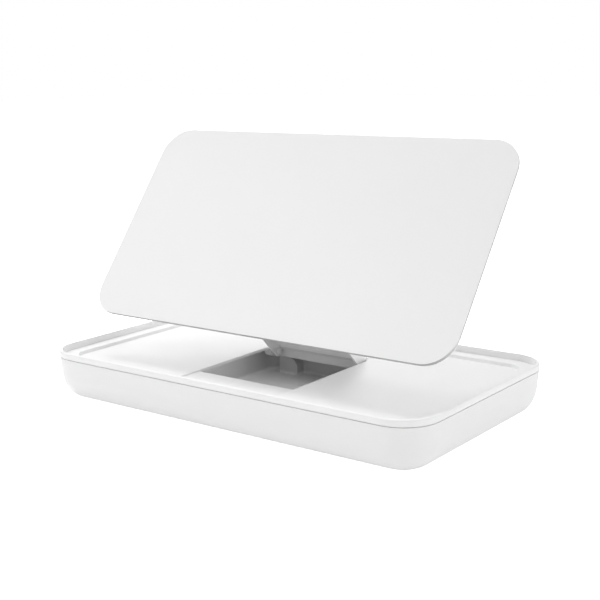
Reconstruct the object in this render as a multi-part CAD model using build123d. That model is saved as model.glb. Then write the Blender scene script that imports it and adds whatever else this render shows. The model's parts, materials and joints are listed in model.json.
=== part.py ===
"""Portable drawing board: a storage case whose lid carries a drawing board on a folding stand.

Millimetres, +Z up, +Y towards the back, +X to the right of someone drawing at it.
The origin is on the ground, under the middle of the case. The board is modelled raised for work.
"""

from build123d import *
import os
from math import atan2, cos, degrees, hypot, radians, sin

os.makedirs("parts", exist_ok=True)

# --- case -----------------------------------------------------------------------------
case_width = 420.0  # left to right, about the long side of an A3 sheet
case_depth = 236.0  # front to back
case_corner = 33.8  # plan radius of the corners
tray_height = 40.6  # tray, from its underside to the parting line
tray_slope = 0.086  # how far the sides lean in for each millimetre down
tray_round_in = 19.9  # rounding of the bottom edge, measured inwards
tray_round_up = 24.4  # rounding of the bottom edge, measured upwards
tray_round_pull = 0.56  # fullness of that rounding, as on a quarter circle
tray_wall = 2.6
tray_floor = 3.0

# --- feet -----------------------------------------------------------------------------
foot_proud = 1.0  # how far the feet hold the tray off the ground
foot_recess = 1.0
foot_radius = 8.0
foot_fit = 0.15
foot_edge = 0.5  # rounding of the foot's lower edge
foot_from_side = 50.0  # foot centre, from the side of the case
foot_from_front = 46.0  # foot centre, from the front or back of the case

# --- lid ------------------------------------------------------------------------------
rim_height = 6.2  # raised rim, above the parting line
rim_width = 4.2  # rim, measured at its foot
rim_lean = 1.0  # how far the inner face of the rim leans out at its top
rim_edge = 1.1  # rounding of the rim's outer edge
shadow_gap = 0.6  # height of the groove at the parting line
shadow_depth = 1.2  # how far that groove runs in under the rim
ledge_rise = 0.3  # ledge that the folded board rests over, above the parting line
ledge_width = 14.0
step_run = 1.6  # slope from the ledge down to the lid's floor
floor_drop = 2.4  # lid's floor, below the parting line
lid_wall = 2.5
tongue_wall = 2.0  # skirt that drops inside the tray
tongue_drop = 5.0
lid_fit = 0.3  # room between the tongue and the tray
channel_depth = 1.3  # shallow channel from the opening to the front ledge
narrow_behind_pivot = 1.5  # the opening narrows to the stand's width just behind the pivot
notch_rib = 2.0  # stiffening rib under the lid, just behind the stand's heel
notch_rib_drop = 10.5  # how far that rib hangs below the lid's underside

# --- hinge pins and rings -------------------------------------------------------------
pin_radius = 2.0
pin_fit = 0.05  # running clearance on the radius
seat_fit = 0.02  # clearance on the radius where a piece is held fast
pin_edge = 0.3  # chamfer on the ends of the headless pins
head_step = 1.4  # outer head of an upper pin, beyond the pin's radius
inner_head_step = 0.8  # inner head of an upper pin, beyond the pin's radius
pin_head = 1.5
bush_wall = 0.6
bush_collar = 0.8
bush_end = 0.5  # closed inner end of a lower bush
ring_wall = 1.0  # collars, washers and spacers, beyond the pin's radius
ring_room = 0.1  # between those rings and the lid's underside
side_play = 0.15  # side room between hinge pieces
spring_washer = 1.2

# --- stand ----------------------------------------------------------------------------
stand_half_width = 52.4
stand_side_room = 3.5  # from the stand to the side of the opening
cheek_gap = 0.5  # room between the stand and the narrowed opening
stand_wall = 2.2
stand_depth = 12.2  # outer face of the stand to the free edge of its flanges
stand_top_drop = 0.8  # outer face of the folded stand, below the parting line
lower_pivot_from_rear = 73.2  # from the back of the case
heel_length = 2.0  # stand's plate, past its lower pivot
heel_room = 1.0  # room behind the heel as it swings
toe_setback = 6.0  # stand's plate stops this far short of the upper pivot
stand_toe_radius = 4.2
toe_room = 3.73  # from the folded stand's toe to the front of the opening
cheek_thickness = 8.0  # moulded cheek under the lid that holds the lower pivot
cheek_radius = 5.4
cheek_overlap = 0.4  # how far a cheek runs up into the lid's floor

# --- drawing board --------------------------------------------------------------------
board_side_room = 1.45  # folded board to the rim, left and right
board_end_room = 6.6  # folded board to the rim, front and back: room for fingers
board_corner_ease = 0.75  # board's corner is this much rounder than its room needs
face_sheet = 1.5
board_thickness = 4.0
face_edge = 0.4  # rounding of the face sheet's edge
back_edge = 0.9  # rounding of the back's edge
board_gap = 0.3  # depth and height of the line between face sheet and back
board_line_inset = 0.8
stiffener_sheet = 1.0
stiffener_border = 8.0
stiffener_room = 0.1
board_tilt = 52.74  # raised board, from the horizontal
board_edge_from_front = 56.2  # raised board's lower edge, from the front of the case
board_edge_rise = 36.5  # the same edge, above the parting line
board_rest_gap = 0.2  # folded board, above the ledge
pivot_under_board = 5.5  # upper pivot, under the back of the board

# --- brackets, screws and bumpers -----------------------------------------------------
bracket_sheet = 1.6  # steel sheet that the brackets are bent from
bend_inside = 1.0
lug_radius = 3.6
leaf_length = 16.0
leaf_width = 26.0
leaf_corner = 2.0
screw_radius = 1.25
screw_head_radius = 2.4
screw_head = 1.0
screw_head_edge = 0.5
screw_fit = 0.1
screw_margin = 5.0  # screw centre, from the edges of the leaf
slot_width = 0.6
slot_depth = 0.4
bumper_radius = 4.0
bumper_recess = 0.8
bumper_proud = 0.15
bumper_y = 60.0

# --- inside the tray ------------------------------------------------------------------
well_half_width = 84.0
well_from_front = 26.0  # well's walls, from the front and back of the case
well_from_rear = 38.0
well_corner = 12.0
well_wall = 2.0
well_foot_round = 3.0  # hollow where the well's walls meet the floor
well_top_room = 1.5  # below the lid's underside
arch_from_middle = 57.0
arch_width = 22.0
arch_depth = 11.0
arch_height = 17.0
arch_inner_corner = 9.5
arch_outer_corner = 2.0
boss_radius = 6.2
magnet_radius = 4.0
magnet_thick = 2.0
magnet_pocket_fit = 0.1
boss_room = 0.2  # between the tray's magnet bosses and the lid's tongue
boss_from_edge = 11.4  # magnet centre, in from the outside of the case
boss_x = 120.0

cut_past = 1.0  # how far a cutting form runs past what it cuts

# --- levels and places that follow ----------------------------------------------------
seam = foot_proud + tray_height
ledge = seam + ledge_rise
lid_floor = seam - floor_drop
lid_under = lid_floor - lid_wall
ledge_under = ledge - lid_wall
rim_top = seam + rim_height
floor_top = foot_proud + tray_floor
well_top = lid_under - well_top_room
well_front = -case_depth / 2 + well_from_front
well_rear = case_depth / 2 - well_from_rear

board_width = case_width - 2 * (rim_width + board_side_room)
board_height = case_depth - 2 * (rim_width + board_end_room)
board_corner = case_corner - rim_width - board_side_room + board_corner_ease
board_back_flat = ledge + board_rest_gap  # underside of the folded board
board_face_flat = board_back_flat + board_thickness
board_edge_y = -case_depth / 2 + board_edge_from_front
board_rise = radians(board_tilt)

ring_radius = pin_radius + ring_wall
lower_pivot = (case_depth / 2 - lower_pivot_from_rear, lid_under - ring_radius - ring_room)
pivot_behind_face = board_thickness + pivot_under_board


def place_upper_pivot():
    """Distance up the board at which one stand length reaches the pivot, both raised and folded."""
    flat_y = -board_height / 2 - lower_pivot[0]
    flat_z = board_face_flat - pivot_behind_face - lower_pivot[1]
    up_y = board_edge_y + pivot_behind_face * sin(board_rise) - lower_pivot[0]
    up_z = seam + board_edge_rise - pivot_behind_face * cos(board_rise) - lower_pivot[1]
    spread = up_y**2 + up_z**2 - flat_y**2 - flat_z**2
    return spread / (2 * (flat_y - up_y * cos(board_rise) - up_z * sin(board_rise)))


pivot_up_board = place_upper_pivot()
pivot_flat = (pivot_up_board - board_height / 2, board_face_flat - pivot_behind_face)
pivot_raised = (
    board_edge_y + pivot_up_board * cos(board_rise) + pivot_behind_face * sin(board_rise),
    seam + board_edge_rise + pivot_up_board * sin(board_rise) - pivot_behind_face * cos(board_rise),
)


def line_angle(start, end):
    return degrees(atan2(end[1] - start[1], end[0] - start[0]))


stand_swing = line_angle(pivot_flat, lower_pivot) - line_angle(pivot_raised, lower_pivot)


# --- shared helpers -------------------------------------------------------------------
def both_sides(shape):
    """The shape and its mirror image across the middle of the case, as a list of two."""
    return [shape, mirror(shape, about=Plane.YZ)]


def mirrored(shape):
    return Compound(children=both_sides(shape))


def slab(width, depth, corner, low, high):
    outline = RectangleRounded(width, depth, corner)
    return Pos(0, 0, low) * extrude(outline, high - low)


def case_slab(inset, low, high):
    return slab(case_width - 2 * inset, case_depth - 2 * inset, case_corner - inset, low, high)


def tapered_pocket(inset, low, high, lean):
    """A pocket whose walls lean outwards by lean between low and high."""
    outline = RectangleRounded(case_width - 2 * inset, case_depth - 2 * inset, case_corner - inset)
    angle = degrees(atan2(lean, high - low))
    return Pos(0, 0, low) * extrude(outline, high - low, taper=-angle)


def side_face(reach, top, bottom, round_in, round_up):
    """Half of the tray's section: flat bottom, rounded edge, leaning side, flat top."""
    lean = tray_slope * (top - bottom - round_up)
    knee = Vector(reach - lean, 0, bottom + round_up)
    foot = Vector(reach - lean - round_in, 0, bottom)
    down = Vector(-tray_slope, 0, -1) * (round_up * tray_round_pull)
    out = Vector(1, 0, 0) * (round_in * tray_round_pull)
    edge = Bezier(knee, knee + down, foot + out, foot)
    rest = Polyline(foot, (0, 0, bottom), (0, 0, top), (reach, 0, top), knee)
    return make_face(edge + rest)


def pan(inset, top, bottom, round_in, round_up):
    """The tray's outer or inner form: the same section all the way round the plan."""
    corner = case_corner - inset
    straight_x = case_width / 2 - case_corner
    straight_y = case_depth / 2 - case_corner
    side = side_face(straight_x + corner, top, bottom, round_in, round_up)
    front = Rot(0, 0, 90) * side_face(straight_y + corner, top, bottom, round_in, round_up)
    turned = revolve(side_face(corner, top, bottom, round_in, round_up), Axis.Z)
    form = extrude(side, straight_y, dir=(0, 1, 0), both=True)
    form += mirror(form, about=Plane.YZ)
    ends = extrude(front, straight_x, dir=(1, 0, 0), both=True)
    form += ends + mirror(ends, about=Plane.XZ)
    for x in (-straight_x, straight_x):
        for y in (-straight_y, straight_y):
            form += Pos(x, y, 0) * turned
    return form


def rod(x_start, x_end, radius, pivot):
    """A round bar along X, centred on a pivot."""
    bar = extrude(Circle(radius), x_end - x_start)
    return Pos(x_start, pivot[0], pivot[1]) * Rot(0, 90, 0) * bar


def ring(x_start, x_end, radius, bore, pivot):
    return rod(x_start, x_end, radius, pivot) - rod(x_start - cut_past, x_end + cut_past, bore, pivot)


def disc(x, y, radius, low, high):
    return Pos(x, y, low) * extrude(Circle(radius), high - low)


def bar_section(x_start, x_end, outline):
    """Extrudes an outline drawn in the Y-Z plane from x_start to x_end."""
    return extrude(Pos(x_start, 0, 0) * outline, x_end - x_start, dir=(1, 0, 0))


def middle_block(half_width, front, rear, low, high):
    """A block across the middle of the case."""
    block = Box(
        2 * half_width, rear - front, high - low,
        align=(Align.CENTER, Align.MIN, Align.MIN),
    )
    return Pos(0, front, low) * block


def turn(shape, pivot, angle):
    y, z = pivot
    return Pos(0, y, z) * Rot(angle, 0, 0) * Pos(0, -y, -z) * shape


def raise_stand(shape):
    return turn(shape, lower_pivot, -stand_swing)


def raise_board(shape):
    lift = Pos(0, pivot_raised[0] - pivot_flat[0], pivot_raised[1] - pivot_flat[1])
    return lift * turn(shape, pivot_flat, board_tilt)


def save(name, shape):
    shape.label = name
    export_step(shape, f"parts/{name}.step")


# --- tray -----------------------------------------------------------------------------
magnet_places = [(side * (case_width / 2 - boss_from_edge), 0) for side in (-1, 1)]
for side in (-1, 1):
    for end in (-1, 1):
        magnet_places.append((side * boss_x, end * (case_depth / 2 - boss_from_edge)))
base_magnet_top = seam - tongue_drop - boss_room
lid_magnet_low = ledge_under - magnet_thick


def make_well(outer):
    """Walls of the middle compartment, with a hollow curve where they meet the tray's floor."""
    depth = well_rear - well_front
    middle = Pos(0, (well_rear + well_front) / 2, 0)
    root = foot_proud + tray_floor / 2
    wide = slab(
        2 * (well_half_width + well_wall), depth + 2 * well_wall, well_corner + well_wall,
        root, well_top,
    )
    room = slab(2 * well_half_width, depth, well_corner, floor_top, well_top)
    room = fillet(room.edges().group_by(Axis.Z)[0], well_foot_round)
    return (middle * (wide - room)) & outer


def make_arch():
    """Rounded block moulded on the floor against the well's back wall."""
    arch = Pos(0, arch_height / 2, 0) * Rectangle(arch_width, arch_height)
    arch = fillet(arch.vertices().group_by(Axis.X)[0].sort_by(Axis.Y)[-1], arch_inner_corner)
    arch = fillet(arch.vertices().group_by(Axis.X)[-1].sort_by(Axis.Y)[-1], arch_outer_corner)
    block = extrude(Plane.XZ * arch, arch_depth / 2, both=True)
    return Pos(arch_from_middle, well_rear - arch_depth / 2, floor_top) * block


def make_tray():
    outer = pan(0, seam, foot_proud, tray_round_in, tray_round_up)
    inner_in = tray_round_in - tray_wall
    inner_up = tray_round_up - tray_floor
    hollow = pan(tray_wall, seam, floor_top, inner_in, inner_up)
    tray = outer - hollow + make_well(outer)
    for block in both_sides(make_arch()):
        tray += block
    for x, y in magnet_places:
        boss = disc(x, y, boss_radius, foot_proud, base_magnet_top) & outer
        pocket_low = base_magnet_top - magnet_thick
        pocket = disc(x, y, magnet_radius + magnet_pocket_fit, pocket_low, base_magnet_top)
        tray = tray + boss - pocket
    for x, y in foot_places():
        tray -= disc(x, y, foot_radius, 0, foot_proud + foot_recess)
    return tray


def foot_places():
    x = case_width / 2 - foot_from_side
    y = case_depth / 2 - foot_from_front
    return [(-x, -y), (x, -y), (-x, y), (x, y)]


def make_feet():
    pads = []
    for x, y in foot_places():
        pad = disc(x, y, foot_radius - foot_fit, 0, foot_proud + foot_recess)
        pads.append(fillet(pad.edges().group_by(Axis.Z)[0], foot_edge))
    return Compound(children=pads)


def make_magnets(low):
    high = low + magnet_thick
    return Compound(children=[disc(x, y, magnet_radius, low, high) for x, y in magnet_places])


save("base_tray", make_tray())
save("rubber_feet", make_feet())
save("base_magnets", make_magnets(base_magnet_top - magnet_thick))


# --- lid ------------------------------------------------------------------------------
tongue_outside = tray_wall + tray_slope * tongue_drop + lid_fit
tongue_inside = tongue_outside + tongue_wall
floor_inset = rim_width + ledge_width + step_run
opening_half_width = stand_half_width + stand_side_room
opening_front = pivot_flat[0] - stand_toe_radius - toe_room
cheek_front = lower_pivot[0] + narrow_behind_pivot
heel_reach = hypot(heel_length, lower_pivot[1] - (seam - stand_top_drop))
opening_rear = lower_pivot[0] + heel_reach + heel_room
cheek_inside = opening_half_width + side_play
cheek_outside = opening_half_width + cheek_thickness


def make_lid():
    body = case_slab(0, seam + shadow_gap, rim_top)
    body = fillet(body.edges().group_by(Axis.Z)[-1], rim_edge)
    body += case_slab(shadow_depth, seam, seam + shadow_gap)
    body += case_slab(tongue_outside, seam - tongue_drop, seam)
    body -= tapered_pocket(rim_width, ledge, rim_top, rim_lean)
    body -= tapered_pocket(floor_inset, lid_floor, ledge, step_run)
    hollow = case_slab(tongue_inside, seam - tongue_drop, ledge_under)
    body -= hollow - case_slab(floor_inset - lid_wall, lid_under, ledge_under)
    channel_front = -case_depth / 2 + floor_inset
    channel_low = lid_floor - channel_depth
    channel_rear = opening_front + cut_past
    body -= middle_block(opening_half_width, channel_front, channel_rear, channel_low, lid_floor)
    opening_low = lid_under - cut_past
    opening_high = lid_floor + cut_past
    body -= middle_block(opening_half_width, opening_front, cheek_front, opening_low, opening_high)
    body -= middle_block(stand_half_width + cheek_gap, cheek_front, opening_rear, opening_low, opening_high)
    for side in both_sides(make_cheek()):
        body += side
    rib_low = lid_under - notch_rib_drop
    rib_rear = opening_rear + notch_rib
    body += middle_block(cheek_outside, opening_rear, rib_rear, rib_low, lid_under + cheek_overlap)
    return body


def make_cheek():
    """Moulded cheek under the lid's floor, beside the opening, bored for the lower pin."""
    y, z = lower_pivot
    top = lid_under + cheek_overlap
    block = Pos(y, (z + top) / 2) * Rectangle(2 * cheek_radius, top - z)
    outline = Plane.YZ * (block + Pos(y, z) * Circle(cheek_radius))
    web = bar_section(cheek_inside, cheek_outside, outline)
    web &= slab(case_width, case_depth, case_corner, 0, top)
    return web - rod(cheek_inside - cut_past, cheek_outside + cut_past, pin_radius + seat_fit, lower_pivot)


# Along a lower pin, outwards from the stand's flange: bush collar, friction washer, spacer, cheek.
bush_start = stand_half_width - stand_wall
lower_pin_start = bush_start + bush_end + side_play
lower_washer_start = stand_half_width + bush_collar + side_play
lower_spacer_start = lower_washer_start + spring_washer + side_play


def make_lower_pin():
    pin = rod(lower_pin_start, cheek_outside - side_play, pin_radius, lower_pivot)
    return chamfer(pin.edges(), pin_edge)


def make_washer(start, pivot):
    """Friction washer on a hinge pin."""
    return ring(start, start + spring_washer, ring_radius, pin_radius + seat_fit, pivot)


def make_spacer():
    end = cheek_inside - side_play
    return ring(lower_spacer_start, end, ring_radius, pin_radius + seat_fit, lower_pivot)


save("lid", make_lid())
save("lid_magnets", make_magnets(lid_magnet_low))
lower_pin = make_lower_pin()
save("stand_hinge_pin_right", lower_pin)
save("stand_hinge_pin_left", mirror(lower_pin, about=Plane.YZ))
save("stand_hinge_spacers", mirrored(make_spacer()))
save("stand_hinge_washers", mirrored(make_washer(lower_washer_start, lower_pivot)))


# --- stand ----------------------------------------------------------------------------
stand_outer = seam - stand_top_drop
stand_edge = stand_outer - stand_depth
bush_outside = pin_radius + pin_fit + bush_wall


def stand_side(pivot_a, pivot_b):
    """Side outline of the folded stand, drawn as (y, z): toe at the front, heel at the back."""
    toe = Pos(*pivot_a) * Circle(stand_toe_radius)
    heel_radius = pivot_b[1] - stand_edge
    heel = Pos(*pivot_b) * Circle(heel_radius)
    front = pivot_a[0]
    back = pivot_b[0]
    web = Polyline(
        (front, pivot_a[1] + stand_toe_radius),
        (front + toe_setback, stand_outer),
        (back + heel_length, stand_outer),
        (back + heel_radius, pivot_b[1]),
        (back, stand_edge),
        (front + 2 * toe_setback, stand_edge),
        (front, pivot_a[1] - stand_toe_radius),
        close=True,
    )
    return make_face(web) + toe + heel


def make_stand():
    side = Plane.YZ * stand_side(pivot_flat, lower_pivot)
    body = bar_section(-stand_half_width, stand_half_width, side)
    front = pivot_flat[0] - stand_toe_radius - cut_past
    toe_end = pivot_flat[0] + toe_setback
    back = lower_pivot[0] + stand_depth
    body -= middle_block(bush_start, front, back, stand_edge - cut_past, stand_outer - stand_wall)
    body -= middle_block(bush_start, front, toe_end, stand_edge, stand_outer + stand_depth)
    for pivot in (pivot_flat, lower_pivot):
        reach = stand_half_width + cut_past
        body -= rod(-reach, reach, bush_outside + seat_fit, pivot)
    return body


def make_lower_bush():
    """Bush pushed into a flange from outside: its collar is outside and its inner end is closed."""
    barrel = rod(bush_start, stand_half_width, bush_outside, lower_pivot)
    collar = rod(stand_half_width, stand_half_width + bush_collar, ring_radius, lower_pivot)
    bore_end = stand_half_width + bush_collar + cut_past
    return barrel + collar - rod(bush_start + bush_end, bore_end, pin_radius + pin_fit, lower_pivot)


def make_upper_bush():
    """Bush pushed into a flange from inside, open at both ends."""
    barrel = rod(bush_start, stand_half_width, bush_outside, pivot_flat)
    collar = rod(bush_start - bush_collar, bush_start, ring_radius, pivot_flat)
    start = bush_start - bush_collar - cut_past
    return barrel + collar - rod(start, stand_half_width + cut_past, pin_radius + pin_fit, pivot_flat)


save("stand_plate", raise_stand(make_stand()))
save("stand_lower_bushes", raise_stand(mirrored(make_lower_bush())))
save("stand_upper_bushes", raise_stand(mirrored(make_upper_bush())))


# --- board ----------------------------------------------------------------------------
# Along an upper pin, inwards from the stand's flange: bush collar, friction washer, bracket lug.
upper_washer_start = bush_start - bush_collar - side_play - spring_washer
lug_outside = upper_washer_start - side_play
lug_inside = lug_outside - bracket_sheet
leaf_inside = lug_outside - leaf_width
leaf_front = pivot_flat[0] - leaf_length
sheet_under = board_face_flat - face_sheet


def board_slab(inset, low, high):
    return slab(board_width - 2 * inset, board_height - 2 * inset, board_corner - inset, low, high)


def screw_places():
    """Three screws through the right-hand leaf: two near its front edge, one near the lug."""
    front = leaf_front + screw_margin
    back = leaf_front + leaf_length - screw_margin
    middle = leaf_inside + leaf_width / 2
    return [(leaf_inside + screw_margin, front), (lug_inside - screw_margin, front), (middle, back)]


def bumper_places():
    x = board_width / 2 - ledge_width / 2
    return [(-x, -bumper_y), (x, -bumper_y), (-x, bumper_y), (x, bumper_y)]


def make_face_sheet():
    sheet = board_slab(0, sheet_under, board_face_flat)
    return fillet(sheet.edges().group_by(Axis.Z)[-1], face_edge)


def drill(sheet, radius, low, high):
    """Bores the screws' holes for both brackets."""
    for x, y in screw_places():
        for hole in both_sides(disc(x, y, radius, low, high)):
            sheet -= hole
    return sheet


def make_back_panel():
    line_low = sheet_under - board_gap
    panel = board_slab(0, board_back_flat, line_low)
    panel = fillet(panel.edges().group_by(Axis.Z)[0], back_edge)
    panel += board_slab(board_line_inset, line_low, sheet_under)
    panel -= board_slab(stiffener_border - stiffener_room, sheet_under - stiffener_sheet, sheet_under)
    for x, y in bumper_places():
        panel -= disc(x, y, bumper_radius, board_back_flat, board_back_flat + bumper_recess)
    return drill(panel, screw_radius + screw_fit, board_back_flat, sheet_under)


def make_stiffener():
    sheet = board_slab(stiffener_border, sheet_under - stiffener_sheet, sheet_under)
    return drill(sheet, screw_radius + seat_fit, board_back_flat, sheet_under)


def bracket_block(x_start, x_end, y_start, y_end):
    """A flat stretch of bracket sheet against the board's back."""
    block = Box(x_end - x_start, y_end - y_start, bracket_sheet, align=(Align.MIN, Align.MIN, Align.MAX))
    return Pos(x_start, y_start, board_back_flat) * block


def make_bracket():
    """Bent steel bracket: a leaf screwed to the board's back and a lug for the upper pivot."""
    y, z = pivot_flat
    lug_back = y + lug_radius
    leaf = bracket_block(leaf_inside, lug_inside - bend_inside, leaf_front, lug_back)
    leaf = fillet(leaf.edges().filter_by(Axis.Z), leaf_corner)
    tab = bracket_block(leaf_inside + leaf_corner, lug_outside, y - lug_radius, lug_back)
    tall = board_back_flat - z
    outline = Pos(y, z + tall / 2) * Rectangle(2 * lug_radius, tall) + Pos(y, z) * Circle(lug_radius)
    bracket = leaf + tab + bar_section(lug_inside, lug_outside, Plane.YZ * outline)
    inner_bend = bracket.edges().filter_by(Axis.Y).group_by(Axis.Z)[0].group_by(Axis.X)[-1]
    bracket = fillet(inner_bend, bend_inside)
    outer_bend = bracket.edges().filter_by(Axis.Y).group_by(Axis.X)[-1]
    bracket = fillet(outer_bend, bend_inside + bracket_sheet)
    bracket -= rod(lug_inside - cut_past, lug_outside + cut_past, pin_radius + seat_fit, pivot_flat)
    leaf_low = board_back_flat - bracket_sheet
    for x, place_y in screw_places():
        bracket -= disc(x, place_y, screw_radius + screw_fit, leaf_low, board_back_flat)
    return bracket


def make_screw(x, y):
    under = board_back_flat - bracket_sheet
    shank = disc(x, y, screw_radius, under, sheet_under)
    head = disc(x, y, screw_head_radius, under - screw_head, under)
    head = fillet(head.edges().group_by(Axis.Z)[0], screw_head_edge)
    slot = Pos(x, y, under - screw_head) * Box(2 * screw_head_radius, slot_width, 2 * slot_depth)
    return shank + head - slot


def make_screws():
    screws = []
    for x, y in screw_places():
        screws += both_sides(make_screw(x, y))
    return Compound(children=screws)


def make_upper_pin():
    end = stand_half_width + side_play
    pin = rod(lug_inside, end, pin_radius, pivot_flat)
    pin += rod(lug_inside - pin_head, lug_inside, pin_radius + inner_head_step, pivot_flat)
    return pin + rod(end, end + pin_head, pin_radius + head_step, pivot_flat)


def make_bumpers():
    low = board_back_flat - bumper_proud
    high = board_back_flat + bumper_recess
    pads = [disc(x, y, bumper_radius - screw_fit, low, high) for x, y in bumper_places()]
    return Compound(children=pads)


save("board_face_sheet", raise_board(make_face_sheet()))
save("board_back_panel", raise_board(make_back_panel()))
save("board_stiffener", raise_board(make_stiffener()))
bracket = make_bracket()
save("board_bracket_right", raise_board(bracket))
save("board_bracket_left", raise_board(mirror(bracket, about=Plane.YZ)))
save("board_bracket_screws", raise_board(make_screws()))
upper_pin = make_upper_pin()
save("board_hinge_pin_right", raise_board(upper_pin))
save("board_hinge_pin_left", raise_board(mirror(upper_pin, about=Plane.YZ)))
save("board_hinge_washers", raise_board(mirrored(make_washer(upper_washer_start, pivot_flat))))
save("board_bumpers", raise_board(make_bumpers()))

print("lower pivot (y, z):", [round(v, 3) for v in lower_pivot])
print("upper pivot raised (y, z):", [round(v, 3) for v in pivot_raised])
print("upper pivot folded (y, z):", [round(v, 3) for v in pivot_flat])
print("pivot up the board:", round(pivot_up_board, 3))
print("stand swing (degrees):", round(stand_swing, 3))
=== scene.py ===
import json
import math
import bmesh
import bpy
from mathutils import Matrix, Vector


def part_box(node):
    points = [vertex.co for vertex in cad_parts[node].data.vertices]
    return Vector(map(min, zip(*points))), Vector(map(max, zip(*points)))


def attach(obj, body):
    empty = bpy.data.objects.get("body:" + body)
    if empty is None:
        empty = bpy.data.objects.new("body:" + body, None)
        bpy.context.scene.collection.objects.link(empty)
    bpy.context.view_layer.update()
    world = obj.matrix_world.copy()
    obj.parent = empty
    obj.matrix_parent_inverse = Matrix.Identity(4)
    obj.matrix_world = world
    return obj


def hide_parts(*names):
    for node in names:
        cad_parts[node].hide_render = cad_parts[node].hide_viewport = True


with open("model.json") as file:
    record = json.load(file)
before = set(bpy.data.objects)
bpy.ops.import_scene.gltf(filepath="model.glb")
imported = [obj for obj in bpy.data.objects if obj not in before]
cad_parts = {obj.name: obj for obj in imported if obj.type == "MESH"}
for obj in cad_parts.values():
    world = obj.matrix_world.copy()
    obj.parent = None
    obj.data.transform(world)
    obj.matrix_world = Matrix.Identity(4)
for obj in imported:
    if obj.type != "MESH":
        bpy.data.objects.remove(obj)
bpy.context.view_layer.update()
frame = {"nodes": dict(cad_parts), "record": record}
nodes = frame["nodes"]
record = frame["record"]
mm = 0.001
print("frame loaded:", len(nodes), "nodes")

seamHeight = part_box("base_tray")[1].z

viewer = {
    "fromMiddle": (640.9 * mm, -827.1 * mm, 279.6 * mm),  # from the case's middle, at its parting line
    "turn": 37.255,  # degrees to the left of straight ahead
    "tilt": 11.965,  # degrees down
    "roll": -1.03,
    "lens": 68.89,
}


def makeCamera():
    turn, tilt, roll = (math.radians(viewer[k]) for k in ("turn", "tilt", "roll"))
    ahead = Vector((-math.sin(turn) * math.cos(tilt), math.cos(turn) * math.cos(tilt), -math.sin(tilt)))
    right = Vector((math.cos(turn), math.sin(turn), 0.0))
    up = right.cross(ahead)
    sideways = right * math.cos(roll) + up * math.sin(roll)
    upwards = up * math.cos(roll) - right * math.sin(roll)
    camera = bpy.data.objects.new("viewer", bpy.data.cameras.new("viewer"))
    camera.data.lens = viewer["lens"]
    camera.data.clip_start = 0.05
    camera.data.clip_end = 50
    place = Vector(viewer["fromMiddle"]) + Vector((0, 0, seamHeight))
    camera.matrix_world = Matrix((sideways, upwards, -ahead)).transposed().to_4x4()
    camera.location = place
    bpy.context.scene.collection.objects.link(camera)
    bpy.context.scene.camera = camera


studio = {
    "skyBands": ((0.0, 0.80), (0.17, 0.79), (0.5, 0.21), (1.0, 1.04)),  # height in the sky, brightness
    "backdrop": 1.0,
    "floorSize": 14.0,
    "floorColour": (0.95, 0.95, 0.95, 1),
    "floorRough": 0.9,
    "farGlow": 0.03,  # the pale table is lit from below, most of all under and round the case
    "nearGlow": 0.17,
    "glowReach": 0.30,
    "lampDistance": 3.0,
    "aimHeight": 0.08,
    # each lamp: degrees round from straight behind towards the left, degrees up, disc size, watts
    "lamps": {
        "key": (54, 46, 1.1, 35.0),
        "frontLeft": (130, 35, 2.0, 20.8),
        "rightLow": (275, 20, 1.6, 12.5),
        "backRight": (320, 35, 2.0, 5.0),
    },
}


def makeLamp(name, around, height, size, power):
    around, height = math.radians(around), math.radians(height)
    aim = Vector((0, 0, studio["aimHeight"]))
    level = math.cos(height)
    away = Vector((-math.sin(around) * level, math.cos(around) * level, math.sin(height)))
    lamp = bpy.data.objects.new(name, bpy.data.lights.new(name, "AREA"))
    lamp.data.shape = "DISK"
    lamp.data.size = size
    lamp.data.energy = power
    lamp.location = aim + away * studio["lampDistance"]
    lamp.rotation_mode = "QUATERNION"
    lamp.rotation_quaternion = (-away).to_track_quat("-Z", "Y")
    bpy.context.scene.collection.objects.link(lamp)


def makeSky():
    world = bpy.data.worlds.new("studio")
    bpy.context.scene.world = world
    world.use_nodes = True
    tree = world.node_tree
    sky = tree.nodes["Background"]
    sky.inputs["Color"].default_value = (1, 1, 1, 1)
    where = tree.nodes.new("ShaderNodeTexCoord")
    parts = tree.nodes.new("ShaderNodeSeparateXYZ")
    bands = tree.nodes.new("ShaderNodeValToRGB")
    tree.links.new(where.outputs["Generated"], parts.inputs["Vector"])
    tree.links.new(parts.outputs["Z"], bands.inputs["Fac"])
    while len(bands.color_ramp.elements) < len(studio["skyBands"]):
        bands.color_ramp.elements.new(0.5)
    for stop, (height, light) in zip(bands.color_ramp.elements, studio["skyBands"]):
        stop.position = height
        stop.color = (light, light, light, 1)
    seen = tree.nodes.new("ShaderNodeLightPath")
    strength = tree.nodes.new("ShaderNodeMix")
    strength.inputs["B"].default_value = studio["backdrop"]
    tree.links.new(bands.outputs["Color"], strength.inputs["A"])
    tree.links.new(seen.outputs["Is Camera Ray"], strength.inputs["Factor"])
    tree.links.new(strength.outputs["Result"], sky.inputs["Strength"])


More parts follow.
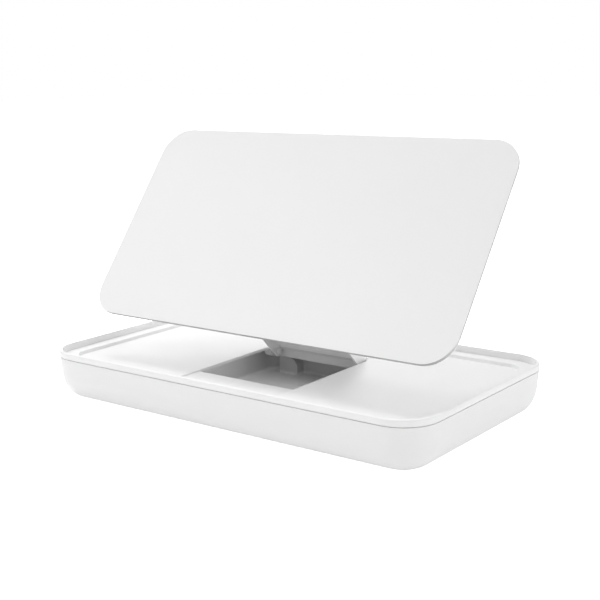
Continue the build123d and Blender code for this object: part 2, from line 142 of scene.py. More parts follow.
def makeFloor():
    half = studio["floorSize"] / 2
    mesh = bpy.data.meshes.new("floor")
    corners = [(-half, -half, 0), (half, -half, 0), (half, half, 0), (-half, half, 0)]
    mesh.from_pydata(corners, [], [(0, 1, 2, 3)])
    floor = bpy.data.objects.new("floor", mesh)
    bpy.context.scene.collection.objects.link(floor)
    paper = bpy.data.materials.new("floorPaper")
    paper.use_nodes = True
    tree = paper.node_tree
    shader = tree.nodes["Principled BSDF"]
    shader.inputs["Base Color"].default_value = studio["floorColour"]
    shader.inputs["Roughness"].default_value = studio["floorRough"]
    shader.inputs["Emission Color"].default_value = (1, 1, 1, 1)
    floor.data.materials.append(paper)
    # the glow falls off with distance from the case's outline
    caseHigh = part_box("base_tray")[1]
    where = tree.nodes.new("ShaderNodeTexCoord").outputs["Object"]
    for operation, other in (
        ("ABSOLUTE", None),
        ("SUBTRACT", (caseHigh.x, caseHigh.y, 0)),
        ("MAXIMUM", (0, 0, 0)),
        ("LENGTH", None),
    ):
        step = tree.nodes.new("ShaderNodeVectorMath")
        step.operation = operation
        tree.links.new(where, step.inputs[0])
        if other is not None:
            step.inputs[1].default_value = other
        where = step.outputs["Value" if operation == "LENGTH" else "Vector"]
    glow = tree.nodes.new("ShaderNodeMapRange")
    glow.interpolation_type = "SMOOTHSTEP"
    glow.inputs["From Max"].default_value = studio["glowReach"]
    glow.inputs["To Min"].default_value = studio["nearGlow"]
    glow.inputs["To Max"].default_value = studio["farGlow"]
    tree.links.new(where, glow.inputs["Value"])
    # from below the table can be looked through
    side = tree.nodes.new("ShaderNodeNewGeometry")
    solid = tree.nodes.new("ShaderNodeMath")
    solid.operation = "SUBTRACT"
    solid.inputs[0].default_value = 1.0
    tree.links.new(side.outputs["Backfacing"], solid.inputs[1])
    tree.links.new(solid.outputs["Value"], shader.inputs["Alpha"])
    # seen directly, the table is as white as the backdrop
    seen = tree.nodes.new("ShaderNodeLightPath")
    strength = tree.nodes.new("ShaderNodeMix")
    strength.inputs["B"].default_value = studio["backdrop"]
    tree.links.new(seen.outputs["Is Camera Ray"], strength.inputs["Factor"])
    tree.links.new(glow.outputs["Result"], strength.inputs["A"])
    tree.links.new(strength.outputs["Result"], shader.inputs["Emission Strength"])


def makeStudio():
    bpy.context.scene.view_settings.view_transform = "Standard"
    makeSky()
    makeFloor()
    for name, lamp in studio["lamps"].items():
        makeLamp(name, *lamp)


makeCamera()
makeStudio()
print("camera and studio ready")


# Node groups: each one works out a pattern from the piece's own coordinates, in metres.

def newGroup(name, takes, gives):
    group = bpy.data.node_groups.new(name, "ShaderNodeTree")
    for label, kind, value in takes:
        socket = group.interface.new_socket(label, in_out="INPUT", socket_type="NodeSocket" + kind)
        if value is not None:
            socket.default_value = value
    for label, kind in gives:
        group.interface.new_socket(label, in_out="OUTPUT", socket_type="NodeSocket" + kind)
    return group


class Wiring:
    # a short hand for adding nodes to one tree and joining them

    def __init__(self, tree):
        self.tree = tree

    def add(self, kind, joins=None, **settings):
        node = self.tree.nodes.new("ShaderNode" + kind)
        for key, value in settings.items():
            setattr(node, key, value)
        for socket, source in (joins or {}).items():
            self.join(source, node.inputs[socket])
        return node

    def join(self, source, socket):
        if isinstance(source, bpy.types.NodeSocket):
            self.tree.links.new(source, socket)
        else:
            socket.default_value = source

    def math(self, operation, a, b=0.0, c=0.0, clamp=False):
        node = self.add("Math", {0: a, 1: b, 2: c}, operation=operation, use_clamp=clamp)
        return node.outputs[0]

    def times(self, *values, clamp=False):
        product = values[0]
        for value in values[1:]:
            product = self.math("MULTIPLY", product, value, clamp=clamp)
        return product

    def opposite(self, value):
        return self.math("SUBTRACT", 1.0, value)

    def noise(self, where, scale, detail=2.0, rough=0.5, distortion=0.0):
        joins = {"Vector": where, "Scale": scale, "Detail": detail}
        joins.update({"Roughness": rough, "Distortion": distortion})
        return self.add("TexNoise", joins).outputs["Fac"]

    def spread(self, value, low, high, outLow=0.0, outHigh=1.0):
        joins = {"Value": value, "From Min": low, "From Max": high}
        joins.update({"To Min": outLow, "To Max": outHigh})
        return self.add("MapRange", joins).outputs["Result"]

    def stretched(self, where, scale):
        return self.add("VectorMath", {0: where, 1: scale}, operation="MULTIPLY").outputs[0]


def groupEnds(group):
    start = group.nodes.new("NodeGroupInput")
    end = group.nodes.new("NodeGroupOutput")
    return start.outputs, end.inputs


def makeMouldedGrain():
    # fine spark texture of a moulding tool, with slow waves where the plastic sank as it cooled
    takes = [("Vector", "Vector", None), ("Grain Size", "Float", 0.4), ("Sink", "Float", 0.5)]
    gives = [("Height", "Float"), ("Gloss", "Float"), ("Tone", "Float")]
    group = newGroup("mouldedGrain", takes, gives)
    wire = Wiring(group)
    given, results = groupEnds(group)
    where = given["Vector"]
    fineScale = wire.math("DIVIDE", 1000.0, given["Grain Size"])
    pits = wire.add("TexVoronoi", {"Vector": where, "Scale": fineScale}).outputs["Distance"]
    specks = wire.noise(where, wire.math("MULTIPLY", fineScale, 1.7), 3.0, 0.6)
    grain = wire.math("ADD", wire.math("MULTIPLY", pits, 0.6), wire.math("MULTIPLY", specks, 0.5))
    sink = wire.math("MULTIPLY", wire.noise(where, 9.0, 1.0, 0.4), given["Sink"])
    wire.join(wire.math("ADD", grain, sink), results["Height"])
    cloud = wire.noise(where, 14.0, 4.0, 0.55, 0.3)
    gloss = wire.math("ADD", wire.times(cloud, 0.7), wire.times(specks, 0.3))
    wire.join(gloss, results["Gloss"])
    wire.join(wire.noise(where, 5.0, 3.0, 0.5, 0.6), results["Tone"])
    return group


def makeEdgeWear():
    # finds edges by rounding the surface a little, then breaks the band up as handling does
    takes = [("Vector", "Vector", None), ("Radius", "Float", 0.0008), ("Amount", "Float", 0.5)]
    group = newGroup("edgeWear", takes, [("Mask", "Float"), ("Normal", "Vector")])
    wire = Wiring(group)
    given, results = groupEnds(group)
    rounded = wire.add("Bevel", {"Radius": given["Radius"]}, samples=4).outputs["Normal"]
    true = wire.add("NewGeometry").outputs["Normal"]
    same = wire.add("VectorMath", {0: rounded, 1: true}, operation="DOT_PRODUCT").outputs["Value"]
    edge = wire.spread(same, 0.995, 0.86)
    broken = wire.noise(given["Vector"], 220.0, 4.0, 0.65)
    patchy = wire.noise(given["Vector"], 17.0, 2.0, 0.5)
    worn = wire.spread(wire.math("MULTIPLY", broken, patchy), 0.16, 0.36)
    wire.join(wire.times(edge, worn, given["Amount"], clamp=True), results["Mask"])
    wire.join(rounded, results["Normal"])
    return group


def makeScuffs():
    # hairline scratches in two directions, in patches where hands and pencils slide
    takes = [("Vector", "Vector", None), ("Spacing", "Float", 14.0), ("Amount", "Float", 0.5)]
    group = newGroup("scuffs", takes, [("Mask", "Float")])
    wire = Wiring(group)
    given, results = groupEnds(group)
    lines = []
    for angle, lengthwise in ((0.5, 0.05), (-1.1, 0.08)):
        turned = wire.add(
            "VectorRotate", {"Vector": given["Vector"], "Axis": (0.2, 0.1, 0.97), "Angle": angle},
            rotation_type="AXIS_ANGLE",
        ).outputs[0]
        drawn = wire.stretched(turned, (lengthwise, 1.0, 1.0))
        scale = wire.math("DIVIDE", 1000.0, given["Spacing"])
        waves = wire.math("ABSOLUTE", wire.math("SUBTRACT", wire.noise(drawn, scale, 1.0, 0.5), 0.5))
        lines.append(wire.spread(waves, 0.006, 0.0))
    both = wire.math("MAXIMUM", lines[0], lines[1])
    patches = wire.spread(wire.noise(given["Vector"], 21.0, 3.0, 0.6), 0.5, 0.68)
    wire.join(wire.times(both, patches, given["Amount"], clamp=True), results["Mask"])
    return group


def makeDust():
    # fine dust that settles where the piece faces up
    takes = [("Vector", "Vector", None), ("Normal", "Vector", None), ("Amount", "Float", 0.3)]
    group = newGroup("dust", takes, [("Mask", "Float"), ("Height", "Float")])
    wire = Wiring(group)
    given, results = groupEnds(group)
    up = wire.add("SeparateXYZ", {"Vector": given["Normal"]}).outputs["Z"]
    facing = wire.spread(up, 0.25, 0.95)
    motes = wire.spread(wire.noise(given["Vector"], 1500.0, 3.0, 0.7), 0.58, 0.72)
    drift = wire.spread(wire.noise(given["Vector"], 11.0, 4.0, 0.6, 0.8), 0.38, 0.7)
    film = wire.math("ADD", wire.math("MULTIPLY", drift, 0.35), wire.math("MULTIPLY", motes, drift))
    wire.join(wire.times(film, facing, given["Amount"], clamp=True), results["Mask"])
    wire.join(motes, results["Height"])
    return group


def makeHandling():
    # slightly greyer, glossier smudges left by fingers
    takes = [("Vector", "Vector", None), ("Amount", "Float", 0.5)]
    group = newGroup("handling", takes, [("Mask", "Float")])
    wire = Wiring(group)
    given, results = groupEnds(group)
    blots = wire.spread(wire.noise(given["Vector"], 33.0, 2.0, 0.4, 0.4), 0.52, 0.7)
    places = wire.spread(wire.noise(given["Vector"], 6.5, 1.0, 0.5), 0.48, 0.62)
    ridges = wire.spread(wire.noise(given["Vector"], 900.0, 1.0, 0.5, 1.2), 0.3, 0.7, 0.6, 1.0)
    wire.join(wire.times(blots, places, ridges, given["Amount"], clamp=True), results["Mask"])
    return group


def makeToolMarks():
    # fine parallel marks of turning or brushing: Stretch squeezes the pattern along each axis
    takes = [("Vector", "Vector", None), ("Stretch", "Vector", (1, 1, 1)), ("Spacing", "Float", 0.1)]
    group = newGroup("toolMarks", takes, [("Height", "Float"), ("Gloss", "Float")])
    wire = Wiring(group)
    given, results = groupEnds(group)
    drawn = wire.stretched(given["Vector"], given["Stretch"])
    scale = wire.math("DIVIDE", 1000.0, given["Spacing"])
    marks = wire.noise(drawn, scale, 3.0, 0.6)
    wide = wire.noise(drawn, wire.math("MULTIPLY", scale, 0.13), 2.0, 0.5)
    height = wire.math("ADD", wire.times(marks, 0.7), wire.times(wide, 0.3))
    wire.join(height, results["Height"])
    wire.join(wire.noise(given["Vector"], 160.0, 3.0, 0.6), results["Gloss"])
    return group


def makePlating():
    # zinc or nickel plating: faint crystal patches and dull spots
    takes = [("Vector", "Vector", None), ("Patch Size", "Float", 1.2)]
    group = newGroup("plating", takes, [("Patches", "Float"), ("Spots", "Float")])
    wire = Wiring(group)
    given, results = groupEnds(group)
    scale = wire.math("DIVIDE", 1000.0, given["Patch Size"])
    cells = wire.add("TexVoronoi", {"Vector": given["Vector"], "Scale": scale}).outputs["Color"]
    wire.join(wire.add("SeparateColor", {"Color": cells}).outputs["Red"], results["Patches"])
    wire.join(wire.spread(wire.noise(given["Vector"], 420.0, 5.0, 0.7), 0.6, 0.75), results["Spots"])
    return group


groups = {
    "grain": makeMouldedGrain(),
    "wear": makeEdgeWear(),
    "scuffs": makeScuffs(),
    "dust": makeDust(),
    "handling": makeHandling(),
    "marks": makeToolMarks(),
    "plating": makePlating(),
}
print("node groups ready:", len(groups))


class Finish(Wiring):
    # one material: its shader, its coordinates and the groups placed in it

    def __init__(self, name):
        self.material = bpy.data.materials.new(name)
        self.material.use_nodes = True
        super().__init__(self.material.node_tree)
        self.shader = self.tree.nodes["Principled BSDF"]
        places = self.add("TexCoord").outputs
        self.where, self.facing = places["Object"], places["Normal"]

    def place(self, key, **values):
        node = self.add("Group")
        node.node_tree = groups[key]
        self.join(self.where, node.inputs["Vector"])
        if "Normal" in node.inputs:
            self.join(self.facing, node.inputs["Normal"])
        for label, value in values.items():
            self.join(value, node.inputs[label.replace("_", " ")])
        return node.outputs

    def blend(self, factor, a, b, mode="MIX"):
        node = self.add("Mix", data_type="RGBA", blend_type=mode)
        for socket, value in (("Factor_Float", factor), ("A_Color", a), ("B_Color", b)):
            self.join(value, next(s for s in node.inputs if s.identifier == socket))
        return next(s for s in node.outputs if s.identifier == "Result_Color")

    def vector(self, operation, a, b=(0, 0, 0)):
        return self.add("VectorMath", {0: a, 1: b}, operation=operation).outputs["Vector"]

    def along(self, way, vector=None):
        # how far a place, or a direction, lies along a given way
        joins = {0: vector or self.where, 1: tuple(way)}
        return self.add("VectorMath", joins, operation="DOT_PRODUCT").outputs["Value"]

    def bump(self, height, distance, strength=1.0, normal=None):
        joins = {"Height": height, "Distance": distance, "Strength": strength}
        if normal is not None:
            joins["Normal"] = normal
        return self.add("Bump", joins).outputs["Normal"]

    def finish(self, colour=None, rough=None, normal=None, **fixed):
        for label, source in (("Base Color", colour), ("Roughness", rough), ("Normal", normal)):
            if source is not None:
                self.join(source, self.shader.inputs[label])
        for label, value in fixed.items():
            self.join(value, self.shader.inputs[label.replace("_", " ")])
        return self.material


def grey(value, warm=0.0):
    return (value + warm, value, value - warm, 1)


def addPaintedEdgeShade(finish, colour, amount):
    # painted shade: greys the shadow line round the board and the faces that look down its lower edge,
    # broken up by faint noise
    below = finish.math("SUBTRACT", boardEdge["face"], finish.along(boardFace))
    offLine = finish.math("ABSOLUTE", finish.math("SUBTRACT", below, boardEdge["lineMiddle"]))
    inLine = finish.spread(offLine, boardEdge["lineHalf"], boardEdge["lineHalf"] * boardEdge["lineCore"])
    looksDown = finish.along(boardDown, finish.facing)
    lowEdge = finish.spread(looksDown, boardEdge["turnsDown"], boardEdge["facesDown"])
    cloud = finish.noise(finish.where, boardEdge["speckScale"], 3.0, 0.6)
    speck = finish.spread(cloud, 0.3, 0.7, boardEdge["leastSpeck"], 1.0)
    # painted shade: the edge line and the faces looking down are blended towards dark grey
    paintedShade = finish.math("MAXIMUM", finish.times(inLine, boardEdge["lineShade"]), lowEdge)
    return finish.blend(finish.times(paintedShade, speck, amount), colour, boardEdge["paintedShade"])


def addPaintedInsideLight(finish, colour, paintedGlowStrength):
    # painted light: the floor in the middle of the case glows, standing in for light through the thin white
    # walls; the walls at its back get painted shade
    offMiddle = finish.vector("ABSOLUTE", finish.vector("SUBTRACT", finish.where, caseHeart["middle"]))
    inwards = finish.vector("SUBTRACT", caseHeart["reach"], offMiddle)
    room = finish.add("SeparateXYZ", {"Vector": inwards}).outputs
    depth = finish.math("MINIMUM", finish.math("MINIMUM", room["X"], room["Y"]), room["Z"])
    inCase = finish.spread(depth, 0.0, caseHeart["fade"])
    forward = finish.along(caseHeart["lightWay"])
    nearFront = finish.spread(forward, caseHeart["darkEnd"], caseHeart["lightEnd"])
    level = finish.add("SeparateXYZ", {"Vector": finish.where}).outputs["Z"]
    onFloor = finish.spread(level, caseHeart["floorHigh"], caseHeart["floorLow"])
    # painted glow: emission on the compartment floor, strongest towards the front
    glow = finish.times(inCase, nearFront, paintedGlowStrength, onFloor)
    glowColour = finish.add("CombineColor", {0: glow, 1: glow, 2: glow}).outputs["Color"]
    finish.join(glowColour, finish.shader.inputs["Emission Color"])
    finish.shader.inputs["Emission Strength"].default_value = 1.0
    # painted shade: the walls at the back of the compartment are blended towards grey
    backShadeMask = finish.times(inCase, finish.opposite(nearFront), finish.opposite(onFloor))
    return finish.blend(backShadeMask, colour, caseHeart["paintedBackShade"])


def makePlastic(name, look):
    # moulded plastic: grain, worn edges, hairline scuffs, smudges and settled dust, with painted shade on
    # the board's edges and painted glow and painted shade inside the case where asked
    finish = Finish(name)
    grain = finish.place("grain", Grain_Size=look["grainSize"], Sink=look["sink"])
    wear = finish.place("wear", Radius=look["edge"] * mm, Amount=look["wear"])
    scuffs = finish.place("scuffs", Spacing=look["scuffSpacing"], Amount=look["scuffs"])
    hands = finish.place("handling", Amount=look["smudges"])
    dust = finish.place("dust", Amount=look["dust"])
    colour = finish.blend(grain["Tone"], look["shade"], look["colour"])
    colour = finish.blend(hands["Mask"], colour, look["smudge"])
    colour = finish.blend(scuffs["Mask"], colour, look["scuffed"])
    colour = finish.blend(wear["Mask"], colour, look["wornEdge"])
    colour = finish.blend(dust["Mask"], colour, look["dustTone"])
    rough = finish.spread(grain["Gloss"], 0.3, 0.7, look["smooth"], look["dull"])
    rough = finish.math("SUBTRACT", rough, finish.math("MULTIPLY", hands["Mask"], 0.22))
    rough = finish.math("SUBTRACT", rough, finish.math("MULTIPLY", wear["Mask"], 0.16))
    rough = finish.math("ADD", rough, finish.math("MULTIPLY", dust["Mask"], 0.35), clamp=True)
    height = finish.math("SUBTRACT", grain["Height"], finish.math("MULTIPLY", scuffs["Mask"], 0.8))
    height = finish.math("ADD", height, finish.math("MULTIPLY", dust["Mask"], 0.6))
    normal = finish.bump(height, look["grainDepth"] * mm, 1.0, wear["Normal"])
    # painted shade on the board's edge line and its down-facing faces
    if look["paintedEdgeShade"]:
        colour = addPaintedEdgeShade(finish, colour, look["paintedEdgeShade"])
    if look["getsPaintedInsideLight"]:
        colour = addPaintedInsideLight(finish, colour, look["paintedGlowStrength"])
    return finish.finish(colour, rough, normal, IOR=look["ior"])


down, left = Vector((0, 0, -1)), Vector((-1, 0, 0))
sheet = nodes["board_face_sheet"].data
boardFace = max(sheet.polygons, key=lambda face: face.area).normal.copy()
if boardFace.z < 0:
    boardFace = -boardFace
boardDown = left.cross(boardFace)
if boardDown.z > 0:
    boardDown = -boardDown
# where the painted shade on the board's edges lies and how dark it is
boardEdge = {
    "face": max(corner.co.dot(boardFace) for corner in sheet.vertices),
    "turnsDown": 0.15,  # how squarely a face looks down the board before the painted shade starts, and is full
    "facesDown": 0.85,
    "lineMiddle": 1.75 * mm,
    "lineHalf": 0.6 * mm,
    "lineCore": 0.6,  # share of that half width which is fully grey
    "speckScale": 90.0,
    "leastSpeck": 0.8,
    "lineShade": 0.6,
    "paintedShade": grey(0.34),
}

# where the painted glow and painted shade inside the case reach
caseHeart = {
    "middle": (0, 0, seamHeight / 2),
    "reach": (90 * mm, 90 * mm, seamHeight / 2 - 3.5 * mm),
    "fade": 0.3 * mm,
    "paintedBackShade": grey(0.63),  # painted shade at the back of the compartment
    "floorHigh": 7 * mm,
    "floorLow": seamHeight / 10,
    "lightWay": (-0.3, -1.0, 0.0),
    "darkEnd": -70 * mm,
    "lightEnd": 20 * mm,
}

whitePlastic = {
    "colour": grey(0.905), "shade": grey(0.882), "smudge": grey(0.83, 0.004), "scuffed": grey(0.83),
    "wornEdge": grey(0.95), "dustTone": grey(0.82, 0.006),
    "grainSize": 0.42, "grainDepth": 0.016, "sink": 0.6, "smooth": 0.36, "dull": 0.50,
    "edge": 0.45, "wear": 0.55, "scuffSpacing": 16.0, "scuffs": 0.30, "smudges": 0.16, "dust": 0.22,
    "ior": 1.49, "getsPaintedInsideLight": False, "paintedGlowStrength": 0.0, "paintedEdgeShade": 0.0,
}

plastics = {
    # painted glow and painted shade inside the case
    "case_plastic": dict(whitePlastic, getsPaintedInsideLight=True, paintedGlowStrength=0.17),
    # painted shade: a darker copy of the case plastic for the tray, with the same painted glow and painted
    # shade inside
    "tray": dict(whitePlastic, getsPaintedInsideLight=True, paintedGlowStrength=0.17, colour=grey(0.856), shade=grey(0.834)),
    # painted shade only, no glow, where the stand reaches into the case
    "stand_plastic": dict(
        whitePlastic, grainSize=0.36, smooth=0.38, dull=0.54, dust=0.16, getsPaintedInsideLight=True,
    ),
    # painted shade on the edges of the board pieces
    "board_plastic": dict(
        whitePlastic, grainSize=0.50, smooth=0.40, dull=0.54, scuffs=0.22, sink=0.3, paintedEdgeShade=1.0,
    ),
    "drawing_surface": dict(
        whitePlastic, colour=grey(0.902), shade=grey(0.888), grainSize=0.24, grainDepth=0.006, sink=0.15,
        smooth=0.30, dull=0.40, scuffs=0.18, smudges=0.12, dust=0.08, edge=0.3, paintedEdgeShade=1.0,
    ),
    "bush_plastic": dict(
        whitePlastic, colour=grey(0.88, 0.006), shade=grey(0.85, 0.008), grainSize=0.2, grainDepth=0.005,
        smooth=0.24, dull=0.36, scuffSpacing=3.0, scuffs=0.35, edge=0.12, dust=0.1,
    ),
}

rubberLook = {
    "colour": grey(0.60), "shade": grey(0.53), "rubbed": grey(0.68), "dustTone": grey(0.74, 0.006),
    "grainSize": 0.55, "grainDepth": 0.03, "sink": 0.2, "smooth": 0.68, "dull": 0.86, "dust": 0.35,
    "edge": 0.3, "wear": 0.8, "ior": 1.52,
}


def makeRubber(name, look):
    # matt rubber: coarse skin, paler where it has been rubbed, dust caught in it
    finish = Finish(name)
    grain = finish.place("grain", Grain_Size=look["grainSize"], Sink=look["sink"])
    wear = finish.place("wear", Radius=look["edge"] * mm, Amount=look["wear"])
    dust = finish.place("dust", Amount=look["dust"])
    colour = finish.blend(grain["Tone"], look["shade"], look["colour"])
    colour = finish.blend(wear["Mask"], colour, look["rubbed"])
    colour = finish.blend(dust["Height"], colour, look["dustTone"])
    rough = finish.spread(grain["Gloss"], 0.3, 0.7, look["smooth"], look["dull"])
    normal = finish.bump(grain["Height"], look["grainDepth"] * mm, 1.0, wear["Normal"])
    return finish.finish(colour, rough, normal, IOR=look["ior"])


metals = {
    # stretch: small along the marks, large across them
    "pin_steel": {
        "colour": grey(0.62), "dark": grey(0.50), "spot": grey(0.40), "stretch": (1.0, 0.02, 0.02),
        "spacing": 0.12, "depth": 0.006, "smooth": 0.18, "dull": 0.34, "patch": 0.8, "spots": 0.25,
    },
    "washer_steel": {
        "colour": grey(0.56), "dark": grey(0.44), "spot": grey(0.33), "stretch": (0.1, 1.0, 1.0),
        "spacing": 0.3, "depth": 0.008, "smooth": 0.26, "dull": 0.42, "patch": 0.6, "spots": 0.35,
    },
    "bracket_steel": {
        "colour": grey(0.64), "dark": grey(0.52), "spot": grey(0.72), "stretch": (0.03, 1.0, 1.0),
        "spacing": 0.35, "depth": 0.010, "smooth": 0.28, "dull": 0.46, "patch": 1.6, "spots": 0.4,
    },
    "screw_steel": {
        "colour": grey(0.60), "dark": grey(0.46), "spot": grey(0.70), "stretch": (1.0, 1.0, 0.2),
        "spacing": 0.2, "depth": 0.006, "smooth": 0.22, "dull": 0.40, "patch": 0.5, "spots": 0.3,
    },
    "stiffener_aluminium": {
        "colour": grey(0.74), "dark": grey(0.66), "spot": grey(0.60), "stretch": (0.02, 1.0, 1.0),
        "spacing": 0.5, "depth": 0.012, "smooth": 0.30, "dull": 0.48, "patch": 6.0, "spots": 0.2,
    },
    "magnet_nickel": {
        "colour": grey(0.70, 0.01), "dark": grey(0.60, 0.01), "spot": grey(0.45), "stretch": (1.0, 1.0, 1.0),
        "spacing": 0.6, "depth": 0.003, "smooth": 0.10, "dull": 0.24, "patch": 0.9, "spots": 0.3,
    },
}

metalWear = {"edge": 0.15 * mm, "amount": 0.7, "bright": grey(0.80)}


def makeMetal(name, look):
    # metal: marks of making, crystal patches of plating, dull spots, bright rubbed edges
    finish = Finish(name)
    marks = finish.place("marks", Stretch=look["stretch"], Spacing=look["spacing"])
    plating = finish.place("plating", Patch_Size=look["patch"])
    wear = finish.place("wear", Radius=metalWear["edge"], Amount=metalWear["amount"])
    colour = finish.blend(plating["Patches"], look["dark"], look["colour"])
    colour = finish.blend(finish.math("MULTIPLY", plating["Spots"], look["spots"]), colour, look["spot"])
    colour = finish.blend(wear["Mask"], colour, metalWear["bright"])
    rough = finish.spread(marks["Gloss"], 0.3, 0.7, look["smooth"], look["dull"])
    rough = finish.math("ADD", rough, finish.math("MULTIPLY", plating["Spots"], 0.15), clamp=True)
    normal = finish.bump(marks["Height"], look["depth"] * mm, 1.0, wear["Normal"])
    return finish.finish(colour, rough, normal, Metallic=1.0)


finishes = {name: makePlastic(name, look) for name, look in plastics.items()}
finishes["foot_rubber"] = makeRubber("foot_rubber", rubberLook)
finishes["bumper_rubber"] = makeRubber("bumper_rubber", dict(rubberLook, grainSize=0.3, grainDepth=0.015))
finishes.update({name: makeMetal(name, look) for name, look in metals.items()})

for subpart in record["subparts"]:
    materials = nodes[subpart["node"]].data.materials
    materials.clear()
    # the tray takes the darker copy of the case plastic as painted shade
    ownFinish = "tray" if subpart["node"] == "base_tray" else subpart["material_slot"]
    materials.append(finishes[ownFinish])
print("finishes ready:", len(finishes))


# Small pieces, each built round its own middle line and then stood where the CAD piece is.

def partsOf(node):
    # corner points of each separate piece in a CAD node
    build = bmesh.new()
    build.from_mesh(nodes[node].data)
    bmesh.ops.remove_doubles(build, verts=build.verts, dist=0.001 * mm)
    waiting = set(build.verts)
    groupsOfPoints = []
    while waiting:
        reach = [waiting.pop()]
        points = []
        while reach:
            corner = reach.pop()
            points.append(corner.co.copy())
            near = {edge.other_vert(corner) for edge in corner.link_edges} & waiting
            waiting -= near
            reach.extend(near)
        groupsOfPoints.append(points)
    build.free()

    def middleOf(points):
        middle = sum(points, Vector()) / len(points)
        return tuple(round(value, 5) for value in middle)

    return sorted(groupsOfPoints, key=middleOf)


def standing(points, outward, across):
    # where a piece stands: its inner end, its direction, its radius and its length
    outward = outward.normalized()
    across = (across - outward * across.dot(outward)).normalized()
    third = outward.cross(across)
    spans = []
    for axis in (across, third, outward):
        along = [point.dot(axis) for point in points]
        spans.append((min(along), max(along)))
    middle = [(low + high) / 2 for low, high in spans[:2]]
    inner = across * middle[0] + third * middle[1] + outward * spans[2][0]
    place = Matrix((across, third, outward)).transposed().to_4x4()
    place.translation = inner
    return place, (spans[0][1] - spans[0][0]) / 2, spans[2][1] - spans[2][0]


def rounded(radiusAt, heightAt, size, start, end, steps=5):
    # points along a quarter round of a profile, angles in degrees
    turns = [math.radians(start + (end - start) * step / steps) for step in range(steps + 1)]
    return [(radiusAt + size * math.cos(turn), heightAt + size * math.sin(turn)) for turn in turns]


sharpTurn = math.radians(38)  # a fold sharper than this stays a crisp edge


def turned(profile, around, shape=None, loop=False):
    # sweeps a profile of (radius, height) round the middle line; shape may bend each point
    build = bmesh.new()
    rings = []
    for radius, height in profile:
        if radius < 1e-9:
            rings.append([build.verts.new((0, 0, height))])
            continue
        ringPoints = []
        for step in range(around):
            turn = 2 * math.pi * step / around
            r, h = shape(radius, height, turn) if shape else (radius, height)
            ringPoints.append(build.verts.new((r * math.cos(turn), r * math.sin(turn), h)))
        rings.append(ringPoints)
    pairs = list(zip(rings, rings[1:]))
    if loop:
        pairs.append((rings[-1], rings[0]))
    for lower, upper in pairs:
        for step in range(around):
            after = (step + 1) % around
            corners = [lower[step % len(lower)], lower[after % len(lower)]]
            corners += [upper[after % len(upper)], upper[step % len(upper)]]
            kept = list(dict.fromkeys(corners))
            if len(kept) > 2:
                build.faces.new(kept)
    bmesh.ops.recalc_face_normals(build, faces=build.faces)
    mesh = bpy.data.meshes.new("turned")
    build.to_mesh(mesh)
    build.free()
    mesh.shade_smooth()
    mesh.set_sharp_from_angle(angle=sharpTurn)
    return mesh


def putPiece(name, mesh, place, node, body):
    piece = bpy.data.objects.new(name, mesh.copy())
    piece.data.transform(place)
    slotName = next(part["material_slot"] for part in record["subparts"] if part["node"] == node)
    piece.data.materials.append(finishes[slotName])
    bpy.context.scene.collection.objects.link(piece)
    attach(piece, body)
    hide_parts(node)
    return piece



foot = {
    "edge": 0.6 * mm,
    "lip": 0.15 * mm,
    "around": 72,
    "grooves": 3,
    "grooveDeep": 0.35 * mm,
    "grooveWide": 0.5 * mm,
    "grooveFoot": 0.6,  # width of a groove's bottom, as a share of its mouth
    "firstGroove": 0.75,  # how far in from the rounded edge the first groove is, in groove spacings
}


def footProfile(radius, length):
    points = [(0, 0), (radius - foot["lip"], 0), (radius, foot["lip"])]
    points += rounded(radius - foot["edge"], length - foot["edge"], foot["edge"], 0, 90)
    tread = (radius - foot["edge"]) / (foot["grooves"] + 1)
    for count in range(foot["grooves"]):
        middle = radius - foot["edge"] - tread * (count + foot["firstGroove"])
        half = foot["grooveWide"] / 2
        bottom = half * foot["grooveFoot"]
        deep = length - foot["grooveDeep"]
        points += [(middle + half, length), (middle + bottom, deep)]
        points += [(middle - bottom, deep), (middle - half, length)]
    return points + [(0, length)]


magnet = {"edge": 0.22 * mm, "around": 64}


def magnetProfile(radius, length):
    edge = magnet["edge"]
    points = [(0, 0)] + rounded(radius - edge, edge, edge, -90, 0, 3)
    return points + rounded(radius - edge, length - edge, edge, 0, 90, 3) + [(0, length)]


bumper = {"dome": 0.14 * mm, "edge": 0.10 * mm, "around": 56}
domeSteps = 8


def domed(radius, sideTop, rise):
    # points from the side of a piece over its top to the middle line
    points = []
    for step in range(domeSteps):
        turn = math.pi / 2 * step / domeSteps
        points.append((radius * math.cos(turn), sideTop + rise * math.sin(turn)))
    return points + [(0, sideTop + rise)]


def bumperProfile(radius, length):
    sideTop = length - bumper["dome"]
    points = [(0, 0), (radius, 0), (radius, sideTop - bumper["edge"])]
    return points + domed(radius - bumper["edge"], sideTop, bumper["dome"])


turnedPieces = (
    # node, body, way it faces, profile, settings
    ("rubber_feet", "base", down, footProfile, foot),
    ("base_magnets", "base", -down, magnetProfile, magnet),
    ("lid_magnets", "lid", down, magnetProfile, magnet),
    ("board_bumpers", "board", -boardFace, bumperProfile, bumper),
)
for node, body, outward, profile, look in turnedPieces:
    for count, points in enumerate(partsOf(node)):
        place, radius, length = standing(points, outward, left)
        mesh = turned(profile(radius, length), look["around"])
        putPiece(f"{node}_{count + 1}", mesh, place, node, body)
print("feet, magnets and bumpers ready")

screw = {
    "head": 1.0 * mm,
    "dome": 0.45 * mm,
    "rim": 0.18 * mm,
    "shank": 1.25 * mm,
    "pitch": 0.7 * mm,
    "threadDeep": 0.16 * mm,
    "threadSteps": 8,  # rings in one turn of the thread
    "slotWide": 0.6 * mm,
    "slotDeep": 0.45 * mm,
    "around": 48,
    "slotTurns": (37, 112, 64, 151, 8, 90),  # degrees that each screw's slot came to rest at
}


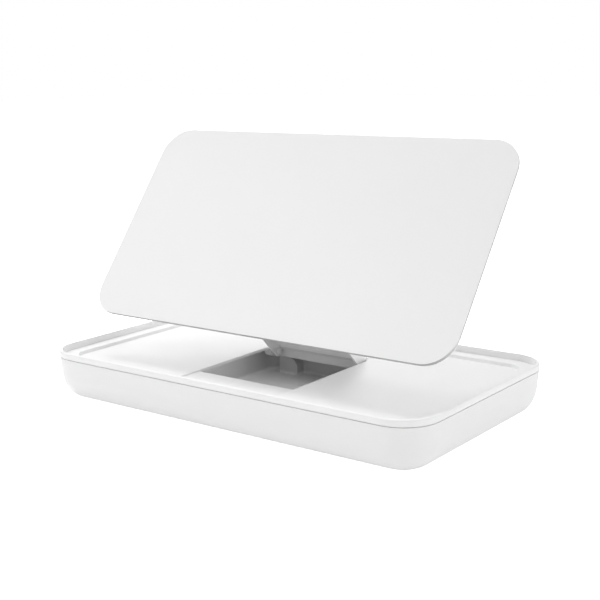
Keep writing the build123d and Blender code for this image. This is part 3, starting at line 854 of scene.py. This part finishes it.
def screwMesh(radius, length):
    # domed head with a slot, above a threaded shank
    headLow = length - screw["head"]
    steps = int(headLow * screw["threadSteps"] / screw["pitch"])
    points = [(0, 0)] + [(screw["shank"], headLow * step / steps) for step in range(steps + 1)]
    rim = screw["rim"]
    points.append((radius - rim, headLow))
    points += rounded(radius - rim, headLow + rim, rim, -90, 0, 3)
    points += domed(radius, length - screw["dome"], screw["dome"])

    def thread(r, h, turn):
        if h >= headLow or r > screw["shank"]:
            return r, h
        wave = (h / screw["pitch"] - turn / (2 * math.pi)) % 1.0
        return r - screw["threadDeep"] * abs(2 * wave - 1), h

    blank = bpy.data.objects.new("blank", turned(points, screw["around"], thread))
    cutter = bpy.data.meshes.new("cutter")
    build = bmesh.new()
    bmesh.ops.create_cube(build, size=1.0)
    build.to_mesh(cutter)
    build.free()
    cutter.transform(Matrix.Diagonal((radius * 3, screw["slotWide"], 2 * screw["slotDeep"], 1)))
    cutter.transform(Matrix.Translation((0, 0, length)))
    knife = bpy.data.objects.new("knife", cutter)
    for thing in (blank, knife):
        bpy.context.scene.collection.objects.link(thing)
    cut = blank.modifiers.new("slot", "BOOLEAN")
    cut.operation = "DIFFERENCE"
    cut.solver = "EXACT"
    cut.object = knife
    bpy.context.view_layer.update()
    seen = blank.evaluated_get(bpy.context.evaluated_depsgraph_get())
    mesh = bpy.data.meshes.new_from_object(seen)
    for thing in (blank, knife):
        bpy.data.objects.remove(thing)
    mesh.set_sharp_from_angle(angle=sharpTurn)
    return mesh


screwBlank = None
for count, points in enumerate(partsOf("board_bracket_screws")):
    place, radius, length = standing(points, -boardFace, left)
    if screwBlank is None:
        screwBlank = screwMesh(radius, length)
    askew = Matrix.Rotation(math.radians(screw["slotTurns"][count]), 4, "Z")
    putPiece(f"board_bracket_screw_{count + 1}", screwBlank, place @ askew, "board_bracket_screws", "board")
print("screws ready")

waveWasher = {"thick": 0.35 * mm, "waves": 3, "bore": 2.02 * mm, "edge": 0.06 * mm, "around": 96}


def washerMesh(radius, length):
    # flat spring ring bent into waves that just touch both neighbours
    bore, thick, edge = waveWasher["bore"], waveWasher["thick"], waveWasher["edge"]
    swing = (length - thick) / 2
    outline = [(bore + edge, 0), (radius - edge, 0), (radius, edge), (radius, thick - edge)]
    outline += [(radius - edge, thick), (bore + edge, thick), (bore, thick - edge), (bore, edge)]

    def wave(r, h, turn):
        return r, h + swing * (1 + math.sin(waveWasher["waves"] * turn))

    return turned(outline, waveWasher["around"], wave, loop=True)


for node, body in (("stand_hinge_washers", "lid"), ("board_hinge_washers", "board")):
    for count, points in enumerate(partsOf(node)):
        place, radius, length = standing(points, left, down)
        putPiece(f"{node}_{count + 1}", washerMesh(radius, length), place, node, body)
print("spring washers ready")
